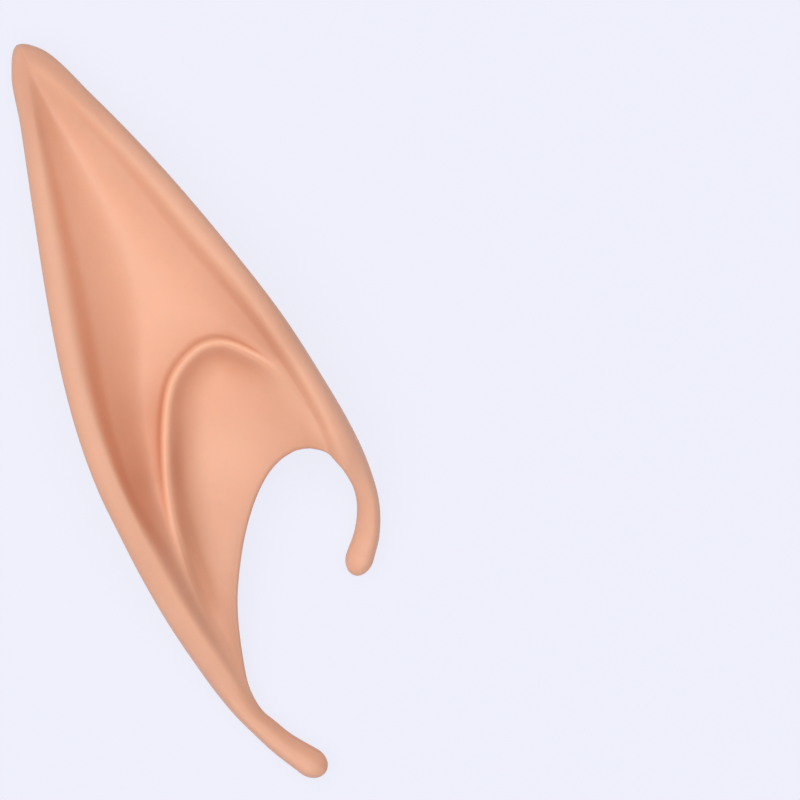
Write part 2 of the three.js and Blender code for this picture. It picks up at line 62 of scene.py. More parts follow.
# Ribs from the outline to the cut-out, from the lobe tail round the tip to the front tail.
# tail is 1 where the rib is a solid round tail and 0 where it is a hollow shell. top and bottom
# are a tail's heights, and bottom is the shell's too. tip is 1 where the pocket stops short of
# the tip.
RIB_COLUMNS = ["outer_x", "outer_y", "inner_x", "inner_y", "tail", "top", "bottom", "tip"]
RIBS = np.array([
    [-0.197, 0.013, -0.100, 0.033, 1.0, 0.25, 0.00, 0.0],
    [-0.265, 0.052, -0.178, 0.067, 1.0, 0.25, 0.00, 0.0],
    [-0.307, 0.082, -0.211, 0.087, 1.0, 0.26, 0.00, 0.0],
    [-0.343, 0.110, -0.243, 0.108, 1.0, 0.28, 0.00, 0.0],
    [-0.378, 0.146, -0.251, 0.136, 0.86, 0.33, 0.00, 0.0],
    [-0.414, 0.196, -0.224, 0.185, 0.45, 0.43, 0.00, 0.0],
    [-0.447, 0.252, -0.173, 0.242, 0.08, 0.55, 0.00, 0.0],
    [-0.472, 0.314, -0.102, 0.289, 0.0, 0.60, 0.00, 0.0],
    [-0.488, 0.378, -0.023, 0.329, 0.0, 0.60, 0.00, 0.0],
    [-0.499, 0.444, 0.061, 0.361, 0.0, 0.60, 0.00, 0.0],
    [-0.490, 0.514, 0.132, 0.380, 0.0, 0.60, 0.00, 0.0],
    [-0.459, 0.592, 0.188, 0.389, 0.0, 0.60, 0.00, 0.0],
    [-0.404, 0.683, 0.228, 0.392, 0.0, 0.60, 0.00, 0.0],
    [-0.322, 0.796, 0.259, 0.393, 0.0, 0.60, 0.00, 0.1],
    [-0.241, 0.904, 0.279, 0.392, 0.0, 0.60, 0.00, 0.4],
    [-0.198, 0.968, 0.292, 0.391, 0.0, 0.60, 0.00, 0.9],
    [-0.137, 1.000, 0.302, 0.390, 0.0, 0.60, 0.00, 1.0],
    [-0.052, 0.983, 0.311, 0.389, 0.0, 0.60, 0.00, 0.6],
    [0.064, 0.902, 0.322, 0.387, 0.0, 0.60, 0.00, 0.2],
    [0.200, 0.789, 0.336, 0.384, 0.0, 0.60, 0.00, 0.0],
    [0.327, 0.660, 0.353, 0.380, 0.0, 0.81, 0.04, 0.0],
    [0.412, 0.557, 0.369, 0.374, 0.05, 0.84, 0.11, 0.0],
    [0.462, 0.467, 0.383, 0.361, 0.35, 0.82, 0.25, 0.0],
    [0.492, 0.394, 0.398, 0.344, 0.83, 0.74, 0.31, 0.0],
    [0.497, 0.342, 0.408, 0.322, 1.0, 0.58, 0.25, 0.0],
    [0.479, 0.293, 0.395, 0.300, 1.0, 0.42, 0.14, 0.0],
    [0.431, 0.254, 0.352, 0.273, 1.0, 0.31, 0.05, 0.0],
    [0.372, 0.227, 0.287, 0.249, 1.0, 0.26, 0.00, 0.0],
])

# Cross sections of the front face at their share y of the length: the rear rim, the crease of
# the long trough and the front rim, their heights, and how late the face climbs to each rim.
# Inside the arch floor_z is the bowl's height and floor_rise how late it climbs.
SECTION_COLUMNS = [
    "y", "rear_x", "crease_x", "front_x", "rear_z", "crease_z", "front_z", "rear_rise",
    "front_rise", "floor_z", "floor_rise",
]
SECTIONS = np.array([
    [0.00, -0.190, -0.130, 0.10, 0.24, 0.24, 0.24, 1.0, 1.0, 0.24, 1.6],
    [0.10, -0.330, -0.255, 0.20, 0.29, 0.23, 0.29, 1.0, 1.5, 0.23, 1.6],
    [0.18, -0.400, -0.255, 0.32, 0.44, 0.30, 0.47, 1.0, 2.0, 0.29, 1.6],
    [0.26, -0.450, -0.268, 0.45, 0.63, 0.44, 0.66, 1.0, 3.0, 0.41, 1.6],
    [0.34, -0.480, -0.270, 0.50, 0.83, 0.58, 0.81, 1.0, 5.0, 0.46, 1.6],
    [0.41, -0.495, -0.288, 0.49, 0.93, 0.60, 0.88, 1.1, 5.0, 0.455, 2.3],
    [0.48, -0.497, -0.240, 0.46, 0.97, 0.57, 0.92, 1.1, 4.5, 0.46, 3.0],
    [0.55, -0.475, -0.170, 0.42, 0.99, 0.53, 0.95, 1.1, 3.3, 0.45, 5.0],
    [0.62, -0.445, -0.085, 0.37, 0.96, 0.48, 0.94, 1.1, 1.9, 0.44, 5.0],
    [0.70, -0.392, -0.048, 0.29, 0.86, 0.46, 0.84, 1.1, 1.3, 0.46, 2.0],
    [0.79, -0.327, -0.062, 0.20, 0.73, 0.43, 0.72, 1.1, 1.1, 0.43, 2.0],
    [0.88, -0.262, -0.098, 0.09, 0.56, 0.39, 0.55, 1.0, 1.0, 0.39, 2.0],
    [0.94, -0.215, -0.119, 0.01, 0.43, 0.375, 0.43, 0.9, 0.9, 0.375, 2.0],
    [0.97, -0.190, -0.125, -0.05, 0.37, 0.365, 0.37, 1.0, 1.0, 0.365, 2.0],
    [1.00, -0.160, -0.130, -0.10, 0.30, 0.28, 0.30, 1.0, 1.0, 0.28, 2.0],
])

# The arch ridge round the bowl, from the cut-out up inside the front rim, over the top, down
# the rear side and on along the crease.
ARCH_COLUMNS = ["x", "y", "strength"]
ARCH = np.array([
    [0.440, 0.340, 0.0],
    [0.412, 0.385, 0.0],
    [0.370, 0.427, 0.0],
    [0.338, 0.462, 0.0],
    [0.314, 0.485, 0.1],
    [0.288, 0.506, 0.4],
    [0.241, 0.528, 0.8],
    [0.165, 0.553, 1.0],
    [0.085, 0.560, 1.0],
    [0.010, 0.553, 1.0],
    [-0.065, 0.537, 1.0],
    [-0.119, 0.514, 1.0],
    [-0.178, 0.476, 1.0],
    [-0.221, 0.440, 0.65],
    [-0.255, 0.404, 0.40],
    [-0.280, 0.368, 0.35],
    [-0.292, 0.335, 0.25],
    [-0.303, 0.300, 0.12],
    [-0.303, 0.250, 0.0],
    [-0.296, 0.180, 0.0],
])

# Shares of the length between which the bowl deepens, the rear rim gets narrower, and the soft
# bends of the lobe give way to the crisper ones of the upper half
BOWL_FROM = 0.20
BOWL_FULL = 0.36
NARROW_FROM = 0.38
NARROW_FULL = 0.62
UPPER_FROM = 0.28
UPPER_FULL = 0.45

# Shares and powers that shape the walls and the two tails
RIM_FOOT = 0.5
BOWL_BELLY = 0.5
LOW_CREASE = 1.2
HIGH_CREASE = 0.15
LOW_CREST = 0.7
HIGH_CREST = 0.4
BELL_POWER = 2.6
LEAST_RISE = 0.6
WALL_LIMIT = 2.0
NARROW_POWER = 4.0
HALF_RIB = 0.45
ROOT_LIMIT = 0.6
RECESS_LIMIT = 0.25
TAIL_SQUARE = 0.85
NOSE_CORE = 0.25
LOBE_LEAN = 0.38
FRONT_LEAN = 0.24
LOBE_RIBS = 1 / 3
FRONT_RIBS = 2 / 3

# Where the painted light and shade lie: strengths, and the shares of the length between which a band
# comes in or fades out. WALL_FROM and WALL_FULL are steepnesses, FRONT_FROM, CORNER_FROM and
# CORNER_FULL are distances in front of the crease, and TAIL_FROM and TAIL_FULL are shares across a
# tail.
HOLLOW_FROM = 0.28
HOLLOW_FULL = 0.48
WALL_FROM = 0.03
WALL_FULL = 0.45
FRONT_WALL = 0.25
LOW_WALL = 0.25
RIDGE_WALL = 0.5
CREST_CORE = 0.35
RIM_CREST = 0.35
LOW_FOOT = 1.0
TOP_FOOT = 0.28
TOP_FROM = 0.50
TOP_FULL = 0.57
CORNER_FOOT = 0.35
FRONT_FROM = 0.006
CORNER_FROM = 0.010
CORNER_FULL = 0.015
LEG_SHADE = 0.85
LEG_FROM = 0.22
LEG_FULL = 0.30
LEG_LAST = 0.42
LEG_END = 0.50
LOW_SHADE = 0.55
LOW_FROM = 0.12
LOW_FULL = 0.20
BOWL_MIDDLE = (-0.02, 0.42)
BOWL_SHADE = 0.36
TIP_SHADE = 0.45
TIP_FROM = 0.82
TIP_FULL = 0.95
TAIL_SHADE = 0.40
TAIL_FROM = 0.4
TAIL_FULL = 0.8
STRENGTH_GAIN = 2.0

# Fineness of the loft: ribs along the outline, points round one section, and where they crowd
RIB_COUNT = 456
RIB_EVENNESS = 0.5
LINE_STEPS = 400
RUN_STEPS = 3200
RIM_STEPS = 16
FACE_STEPS = 30
ARCH_STEPS = 24
BOWL_STEPS = 28
LIP_STEPS = 8
ROOF_STEPS = 16
ROOT_STEPS = 8
POCKET_STEPS = 12
BACK_STEPS = 14
CAP_STEPS = 16
CROWDING = 1.2
ARCH_MARGIN = 0.12
ARCH_BEFORE = 2.0
ARCH_AFTER = 1.5
ROOF_NEAR = 0.3
ROOF_FAR = 0.5

# Lengths too small to be a user's choice, and the least turn of a rib against the arch
PARALLEL = 1e-12
CREST_GAP = 0.0003
CREST_BLEND = 0.003
SLOPE_STEP = 0.0004
POCKET_ROUND = 0.0012
POCKET_GAP = 0.0006
NARROWEST = 0.0005

# The photograph's frame: its middle in shares of span and length, its width, and its turn
FRAME_MIDDLE = (0.703, 0.401)
FRAME_WIDTH = 0.12096
FRAME_TURN = math.radians(-22.5)
FOCUS_HEIGHT = 0.006

# The large soft light: its place in the picture, its height and its width. FLOOR_HALF is half
# the width of the floor.
KEY_PLACE = (-0.15, -0.03)
KEY_HEIGHT = 1.2
KEY_SIZE = 2.2
FLOOR_HALF = 6.0

# Textures: scales in repeats in a metre, the bottom and the rim of a pit in shares of a repeat,
# and how far the textures change what they act on
CLOUD_SCALE = 60
FINE_CLOUD_SCALE = 420
GRAIN_SCALE = 2600
BROAD_SCALE = 130
PIT_SCALE = 260
PIT_BOTTOM = 0.03
PIT_RIM = 0.09
CLOUD_SHARE = 0.10
FINE_CLOUD_SHARE = 0.05
DARKEST_CLOUD = 0.95
SATIN_SHARE = 0.14
FLOOR_SCALE = 3
FLOOR_CLOUDING = 0.995


class EarSizes(bpy.types.PropertyGroup):
    """Sizes of the ear tip."""

    length: bpy.props.FloatProperty(
        name="Length", description="End of the lobe tail to the tip", default=0.120,
        unit="LENGTH")
    span: bpy.props.FloatProperty(
        name="Span", description="Rear rim to the outside of the front tail", default=0.0394,
        unit="LENGTH")
    depth: bpy.props.FloatProperty(
        name="Depth", description="Back of the ear to the crest of the front rim",
        default=0.0165, unit="LENGTH")
    wall: bpy.props.FloatProperty(
        name="Wall", description="Thickness of the front and the back wall", default=0.0014,
        unit="LENGTH")
    rim_inset: bpy.props.FloatProperty(
        name="Rim rounding", description="Width of the rounding on the outside of the rim",
        default=0.0022, unit="LENGTH")
    crest_inset: bpy.props.FloatProperty(
        name="Crest inset", description="Outline to where the trough wall starts to fall",
        default=0.003, unit="LENGTH")
    rim_drop: bpy.props.FloatProperty(
        name="Rim drop", description="Crest of the rim down to the outline", default=0.002,
        unit="LENGTH")
    rim_solid: bpy.props.FloatProperty(
        name="Solid rim", description="Outline to the pocket", default=0.0032,
        unit="LENGTH")
    tip_solid: bpy.props.FloatProperty(
        name="Solid tip", description="Extra solid length in the tip", default=0.009,
        unit="LENGTH")
    back_round: bpy.props.FloatProperty(
        name="Back rounding", description="Outline to where the back lies flat",
        default=0.010, unit="LENGTH")
    lip_roll: bpy.props.FloatProperty(
        name="Lip roll", description="Width of the soft roll along the cut-out",
        default=0.0028, unit="LENGTH")
    lip_drop: bpy.props.FloatProperty(
        name="Lip drop", description="How far the face rolls down at the cut-out",
        default=0.001, unit="LENGTH")
    mouth_recess: bpy.props.FloatProperty(
        name="Mouth recess", description="How far the back wall stops short of the front wall",
        default=0.0026, unit="LENGTH")
    ridge_height: bpy.props.FloatProperty(
        name="Ridge height", description="Arch ridge above the face", default=0.00125,
        unit="LENGTH")
    ridge_outer: bpy.props.FloatProperty(
        name="Ridge outside", description="Half width of the ridge towards the trough",
        default=0.0009, unit="LENGTH")
    ridge_inner: bpy.props.FloatProperty(
        name="Ridge inside", description="Half width of the ridge towards the bowl",
        default=0.0016, unit="LENGTH")
    apron_height: bpy.props.FloatProperty(
        name="Apron height", description="Broad swell that carries the ridge",
        default=0.0016, unit="LENGTH")
    apron_width: bpy.props.FloatProperty(
        name="Apron width", description="Half width of the broad swell", default=0.003,
        unit="LENGTH")
    # The darker band outside the arch ridge is painted shade
    foot_width: bpy.props.FloatProperty(
        name="Ridge foot", description="Width of the darker band outside the arch ridge",
        default=0.006, unit="LENGTH")
    bowl_side: bpy.props.FloatProperty(
        name="Bowl side", description="Width of the bowl's sloping side", default=0.0065,
        unit="LENGTH")
    lobe_cap: bpy.props.FloatProperty(
        name="Lobe end", description="Length of the lobe tail's rounded end", default=0.0028,
        unit="LENGTH")
    front_cap: bpy.props.FloatProperty(
        name="Front tail end", description="Length of the front tail's rounded end",
        default=0.0029, unit="LENGTH")


class LatexLook(bpy.types.PropertyGroup):
    """Colours and finish of the latex, with its painted light and shade."""

    skin: bpy.props.FloatVectorProperty(
        name="Skin", description="Colour of the face and the rims", subtype="COLOR",
        size=3, min=0.0, max=1.0, default=(0.820, 0.440, 0.300))
    # hollow: painted warm bounce light, a lighter and warmer colour deep in the hollows
    hollow: bpy.props.FloatVectorProperty(
        name="Hollow", description="Warmer colour where the pigment settled in the hollows",
        subtype="COLOR", size=3, min=0.0, max=1.0, default=(0.860, 0.460, 0.310))
    # wall: painted shade, multiplied in where the walls are steep
    wall: bpy.props.FloatVectorProperty(
        name="Wall tint", description="Tint where pigment ran together on the steep walls",
        subtype="COLOR", size=3, min=0.0, max=1.0, default=(1.000, 0.760, 0.660))
    # Painted shade, multiplied in along the darker bands, most beside the ridge
    painted_shade: bpy.props.FloatVectorProperty(
        name="Settled tint", description="Tint where pigment settled, most beside the ridge",
        subtype="COLOR", size=3, min=0.0, max=1.0, default=(0.800, 0.670, 0.610))
    # crest: painted highlight, a paler colour on the crests of the ridge and the rims
    crest: bpy.props.FloatVectorProperty(
        name="Crest", description="Paler colour on the crests of the ridge and the rims",
        subtype="COLOR", size=3, min=0.0, max=1.0, default=(0.940, 0.495, 0.325))
    roughness: bpy.props.FloatProperty(
        name="Roughness", description="Roughness of the satin surface", default=0.52,
        min=0.0, max=1.0, subtype="FACTOR")
    grain: bpy.props.FloatProperty(
        name="Grain", description="Height of the fine grain", default=0.00002,
        precision=6, unit="LENGTH")
    uneven: bpy.props.FloatProperty(
        name="Unevenness", description="Height of the broad unevenness of the casting",
        default=0.00012, precision=6, unit="LENGTH")


class StageLook(bpy.types.PropertyGroup):
    """The floor, the lights and the camera."""

    floor: bpy.props.FloatVectorProperty(
        name="Floor", description="Colour of the floor", subtype="COLOR", size=3, min=0.0,
        max=1.0, default=(0.070, 0.071, 0.078))
    glow: bpy.props.FloatVectorProperty(
        name="Floor light", description="Colour of the light that the floor gives off",
        subtype="COLOR", size=3, min=0.0, max=1.0, default=(0.785, 0.795, 0.884))
    sky: bpy.props.FloatVectorProperty(
        name="Fill", description="Colour of the light from all round", subtype="COLOR",
        size=3, min=0.0, max=1.0, default=(1.0, 1.0, 1.0))
    fill: bpy.props.FloatProperty(
        name="Fill strength", description="Strength of the light from all round",
        default=0.12, min=0.0)
    key: bpy.props.FloatProperty(
        name="Key power", description="Power of the large soft light", default=23.0,
        min=0.0, unit="POWER")
    camera_height: bpy.props.FloatProperty(
        name="Camera height", description="Camera above the floor", default=3.0,
        unit="LENGTH")


def mix(a, b, share):
    """The value at share of the way from a to b."""
    return a + (b - a) * share


def smooth(value, start, stop):
    """0 up to start, 1 from stop on, and 3t^2 - 2t^3 between them."""
    t = np.clip((value - start) / (stop - start), 0, 1)
    return t * t * (3 - 2 * t)


def column(table, columns, name):
    """One named column of a table."""
    return table[:, columns.index(name)]


def cubic(places, values, at):
    """Curve through the rows of a table: on each step the cubic whose slope at a row is the
    slope between that row's neighbours."""
    slopes = np.empty_like(values)
    slopes[1:-1] = (values[2:] - values[:-2]) / (places[2:] - places[:-2])
    slopes[0] = (values[1] - values[0]) / (places[1] - places[0])
    slopes[-1] = (values[-1] - values[-2]) / (places[-1] - places[-2])
    at = np.clip(at, places[0], places[-1])
    i = np.clip(np.searchsorted(places, at) - 1, 0, len(places) - 2)
    step = places[i + 1] - places[i]
    t = (at - places[i]) / step
    return ((2 * t**3 - 3 * t**2 + 1) * values[i] + (t**3 - 2 * t**2 + t) * step * slopes[i]
            + (3 * t**2 - 2 * t**3) * values[i + 1] + (t**3 - t**2) * step * slopes[i + 1])


def curve_through(points, share):
    """Centripetal curve through points: knots are spaced by the square root of the distance
    between points, which keeps it free of loops. share runs evenly over the points."""
    last = len(points) - 1
    place = np.clip(share, 0, 1) * last
    i = np.minimum(place.astype(int), last - 1)
    t = (place - i)[:, None]
    ends = np.vstack([2 * points[0] - points[1], points, 2 * points[-1] - points[-2]])
    p0, p1, p2, p3 = ends[i], ends[i + 1], ends[i + 2], ends[i + 3]
    d0, d1, d2 = (np.sqrt(np.linalg.norm(b - a, axis=1))[:, None]
                  for a, b in ((p0, p1), (p1, p2), (p2, p3)))
    m1 = ((p1 - p0) / d0 - (p2 - p0) / (d0 + d1) + (p2 - p1) / d1) * d1
    m2 = ((p2 - p1) / d1 - (p3 - p1) / (d1 + d2) + (p3 - p2) / d2) * d1
    return (p1 + m1 * t + (-3 * p1 + 3 * p2 - 2 * m1 - m2) * t**2
            + (2 * p1 - 2 * p2 + m1 + m2) * t**3)


def nearest(line, x, y):
    """Distance to a line of points, the side of it (1 on the left of the way the line runs,
    -1 on the right) and the share of the way along it."""
    best = np.full(x.shape, np.inf)
    side = np.zeros(x.shape)
    share = np.zeros(x.shape)
    steps = len(line) - 1
    for i in range(steps):
        dx, dy = line[i + 1] - line[i]
        px, py = x - line[i, 0], y - line[i, 1]
        t = np.clip((px * dx + py * dy) / (dx * dx + dy * dy), 0, 1)
        away = (px - t * dx) ** 2 + (py - t * dy) ** 2
        closer = away < best
        best = np.where(closer, away, best)
        side = np.where(closer, np.sign(dx * py - dy * px), side)
        share = np.where(closer, (i + t) / steps, share)
    return np.sqrt(best), side, share


def quarter_round(distance, over):
    """0 at the edge and 1 from the given distance on, along a quarter of a circle."""
    left = 1 - np.clip(distance / over, 0, 1)
    return np.sqrt(1 - left * left)


def climb(t, rise, upper):
    """How a side wall climbs from the crease (0) to the crest (1): t to the power of rise,
    softened at the crease and rounded over by a parabola at the crest. upper is 1 in the ear's
    upper half and 0 at the lobe, where both bends are softer."""
    softness = mix(LOW_CREASE, HIGH_CREASE, upper)
    soft = t * t * (1 + softness) / (t + softness)
    rounded = 1 - 2 * (1 - t) ** 2
    start = 1 - mix(LOW_CREST, HIGH_CREST, upper) / np.maximum(rise, LEAST_RISE)
    return mix(soft**rise, rounded, smooth(t, start, 1))


class EarForm:
    """The heights of the ear's faces as functions of the place, and the ribs they are
    sampled on."""

    def __init__(self, size):
        self.size = size
        scale = np.array([size.span, size.length])
        even = np.linspace(0, 1, LINE_STEPS + 1)
        self.outer_points = RIBS[:, 0:2] * scale
        self.inner_points = RIBS[:, 2:4] * scale
        self.outline = curve_through(self.outer_points, even)
        self.cut_out = curve_through(self.inner_points, even)
        self.arch = curve_through(ARCH[:, 0:2] * scale, even)
        self.arch_places = np.linspace(0, 1, len(ARCH))
        self.make_ribs()

    def make_ribs(self):
        """Ribs whose places are halfway between even steps of the table and even steps along
        the outline, with their direction and their table values."""
        size = self.size
        fine = np.linspace(0, 1, RUN_STEPS + 1)
        points = curve_through(self.outer_points, fine)
        run = np.concatenate([[0], np.cumsum(np.hypot(*np.diff(points, axis=0).T))])
        share = np.linspace(0, 1, RIB_COUNT)
        t = mix(share, np.interp(share * run[-1], run, fine), RIB_EVENNESS)
        small = 0.0001
        self.outer = curve_through(self.outer_points, t)
        inner = curve_through(self.inner_points, t)
        edge = curve_through(self.outer_points, t + small) - curve_through(
            self.outer_points, t - small)
        edge /= np.hypot(*edge.T)[:, None]
        along = inner - self.outer
        self.width = np.hypot(*along.T)[:, None]
        self.along = along / self.width
        self.slant = np.abs(self.along[:, 0] * edge[:, 1] - self.along[:, 1] * edge[:, 0])[:, None]
        places = np.linspace(0, 1, len(RIBS))
        value = {name: cubic(places, column(RIBS, RIB_COLUMNS, name), t)[:, None]
                 for name in ("tail", "top", "bottom", "tip")}
        self.tail = np.clip(value["tail"], 0, 1)
        self.tip = np.clip(value["tip"], 0, 1)
        self.front_end = smooth(t, LOBE_RIBS, FRONT_RIBS)[:, None]
        self.top = value["top"] * size.depth
        self.bottom = value["bottom"] * size.depth

    def on_ribs(self, distance):
        """The places at these distances along every rib."""
        x = self.outer[:, 0:1] + self.along[:, 0:1] * distance
        y = self.outer[:, 1:2] + self.along[:, 1:2] * distance
        return x, y

    def section(self, y):
        """The cross section at y: its places, heights and rises."""
        shares = y / self.size.length
        values = {name: cubic(SECTIONS[:, 0], column(SECTIONS, SECTION_COLUMNS, name), shares)
                  for name in SECTION_COLUMNS[1:]}
        for name in values:
            if name.endswith("_x"):
                values[name] = values[name] * self.size.span
            if name.endswith("_z"):
                values[name] = values[name] * self.size.depth
        return values

    def strength(self, share):
        """Strength of the arch ridge at a share of its way."""
        return cubic(self.arch_places, column(ARCH, ARCH_COLUMNS, "strength"), share)

    def relief(self, x, y, ridge):
        """Height of the front face inside the rims. Two walls climb from the crease to the
        rims. Inside the arch the face sinks to the bowl's floor, over the mean of
        1 - (1 - d/side)^2 and a smooth step. The ridge is a blunt bell curve across the arch,
        left out where ridge is 0, on a swell that falls off exponentially towards the trough
        and as a bell curve towards the bowl."""
        size = self.size
        s = self.section(y)
        upper = smooth(y / size.length, UPPER_FROM, UPPER_FULL)
        narrow = smooth(y / size.length, NARROW_FROM, NARROW_FULL)
        inset = mix(size.crest_inset, size.rim_inset, narrow)
        rear_crest = np.minimum(s["rear_x"] + inset, s["crease_x"] - CREST_GAP)
        front_crest = np.maximum(s["front_x"] - size.rim_inset, s["crease_x"] + CREST_GAP)
        rear = np.clip((s["crease_x"] - x) / (s["crease_x"] - rear_crest), 0, 1)
        front = np.clip((x - s["crease_x"]) / (front_crest - s["crease_x"]), 0, 1)
        rear_wall = mix(s["crease_z"], s["rear_z"], climb(rear, s["rear_rise"], upper))
        front_wall = mix(s["crease_z"], s["front_z"], climb(front, s["front_rise"], upper))
        face = np.where(x < s["crease_x"], rear_wall, front_wall)
        floor = mix(s["floor_z"], s["front_z"], climb(front, s["floor_rise"], upper))
        distance, side, share = nearest(self.arch, x, y)
        inside = np.where(side > 0, distance, 0)
        left = 1 - np.clip(inside / size.bowl_side, 0, 1)
        side_wall = mix(1 - left * left, smooth(inside, 0, size.bowl_side), BOWL_BELLY)
        sunk = side_wall * smooth(y / size.length, BOWL_FROM, BOWL_FULL)
        width = np.where(side > 0, size.ridge_inner, size.ridge_outer)
        crest = ridge * size.ridge_height * np.exp(-((distance / width) ** BELL_POWER))
        swell = np.where(side > 0, (distance / size.apron_width) ** 2, distance / size.apron_width)
        apron = size.apron_height * np.exp(-swell)
        return mix(face, floor, sunk) + (crest + apron) * self.strength(share)

    def crest(self, x, y):
        """Height of the rim's crest at a place on the ear."""
        s = self.section(y)
        return mix(s["rear_z"], s["front_z"], smooth(x - s["crease_x"], -CREST_BLEND, CREST_BLEND))

    def rounding(self, y, wanted):
        """Distance over which an edge is rounded, smaller where the ear gets narrow."""
        s = self.section(y)
        half = np.maximum((s["front_x"] - s["rear_x"]) / 2, NARROWEST)
        return (wanted**-NARROW_POWER + half**-NARROW_POWER) ** (-1 / NARROW_POWER)

    def from_outline(self, x, y):
        """Distance to the outline, no more than the one square to it along the rib."""
        along = ((x - self.outer[:, 0:1]) * self.along[:, 0:1]
                 + (y - self.outer[:, 1:2]) * self.along[:, 1:2])
        return np.minimum(nearest(self.outline, x, y)[0], np.abs(along) * self.slant)

    def edge(self, x, y):
        """Height of the outline above the floor."""
        crest = self.crest(x, y)
        return np.maximum(crest - self.size.rim_drop, mix(self.bottom, crest, RIM_FOOT))

    def roll(self, x, y):
        """How far the face rolls down near the cut-out."""
        near = quarter_round(nearest(self.cut_out, x, y)[0], self.size.lip_roll)
        return self.size.lip_drop * (1 - near)

    def front(self, x, y):
        """Height of the front face: a quarter round from the outline up to the relief."""
        edge = self.edge(x, y)
        rim = quarter_round(self.from_outline(x, y), self.rounding(y, self.size.rim_inset))
        return edge + (self.relief(x, y, 1) - edge) * rim - self.roll(x, y)

    def back(self, x, y):
        """Height of the back: a wide quarter round from the outline down to the floor."""
        away = quarter_round(self.from_outline(x, y), self.rounding(y, self.size.back_round))
        return mix(self.edge(x, y), self.bottom, away)

    def wall_on_slope(self, height, x, y):
        """Height that the wall takes up on a slope: the wall times the slope's length."""
        sx = (height(x + SLOPE_STEP, y) - height(x - SLOPE_STEP, y)) / (2 * SLOPE_STEP)
        sy = (height(x, y + SLOPE_STEP) - height(x, y - SLOPE_STEP)) / (2 * SLOPE_STEP)
        return self.size.wall * np.minimum(np.sqrt(1 + sx * sx + sy * sy), WALL_LIMIT)

    def roof(self, x, y):
        """Height of the pocket's roof, one wall under the face."""
        def face(px, py):
            return self.relief(px, py, 0)
        outer = face(x, y) - self.roll(x, y)
        middle = (outer + self.back(x, y)) / 2
        return np.maximum(outer - self.wall_on_slope(face, x, y), middle + POCKET_GAP / 2)

    def pocket_floor(self, x, y):
        """Height of the pocket's floor, one wall over the back."""
        over = self.back(x, y) + self.wall_on_slope(self.back, x, y)
        return np.minimum(over, self.roof(x, y) - POCKET_GAP)

    def arch_on_ribs(self, start, stop):
        """Where each rib meets the near and the far side of the ridge. Ribs that miss the
        arch take the distance of their neighbours."""
        step = np.diff(self.arch, axis=0)
        gap_x = self.arch[None, :-1, 0] - self.outer[:, 0:1]
        gap_y = self.arch[None, :-1, 1] - self.outer[:, 1:2]
        along_x, along_y = self.along[:, 0:1], self.along[:, 1:2]
        turn = along_x * step[None, :, 1] - along_y * step[None, :, 0]
        turn = np.where(np.abs(turn) < PARALLEL, PARALLEL, turn)
        distance = (gap_x * step[None, :, 1] - gap_y * step[None, :, 0]) / turn
        share = (gap_x * along_y - gap_y * along_x) / turn
        met = (share >= 0) & (share <= 1) & (distance > start) & (distance < stop)
        first = np.where(met, distance, np.inf).min(axis=1)
        found = np.isfinite(first)
        index = np.arange(len(first))
        crossing = np.interp(index, index[found], (first / self.width[:, 0])[found])[:, None]
        crossing = crossing * self.width
        near = crossing - ARCH_BEFORE * self.size.ridge_outer
        near = np.maximum(near, mix(start, stop, ARCH_MARGIN))
        far = crossing + ARCH_AFTER * self.size.ridge_inner
        far = np.minimum(far, mix(stop, start, ARCH_MARGIN))
        least = mix(near, stop, ARCH_MARGIN)
        return near, np.maximum(far, least)


def steps(count, first=0):
    """The shares first/count, ... 1 for a stretch of a section, as a row."""
    return np.arange(first, count + 1)[None, :] / count


def half_round(form, distance, top, bottom):
    """The rounded free edge of a wall, from its upper to its lower face."""
    turn = math.pi * steps(LIP_STEPS, 1)
    x, y = form.on_ribs(distance + form.size.wall / 2 * np.sin(turn))
    return x, y, mix(top, bottom, (1 - np.cos(turn)) / 2)


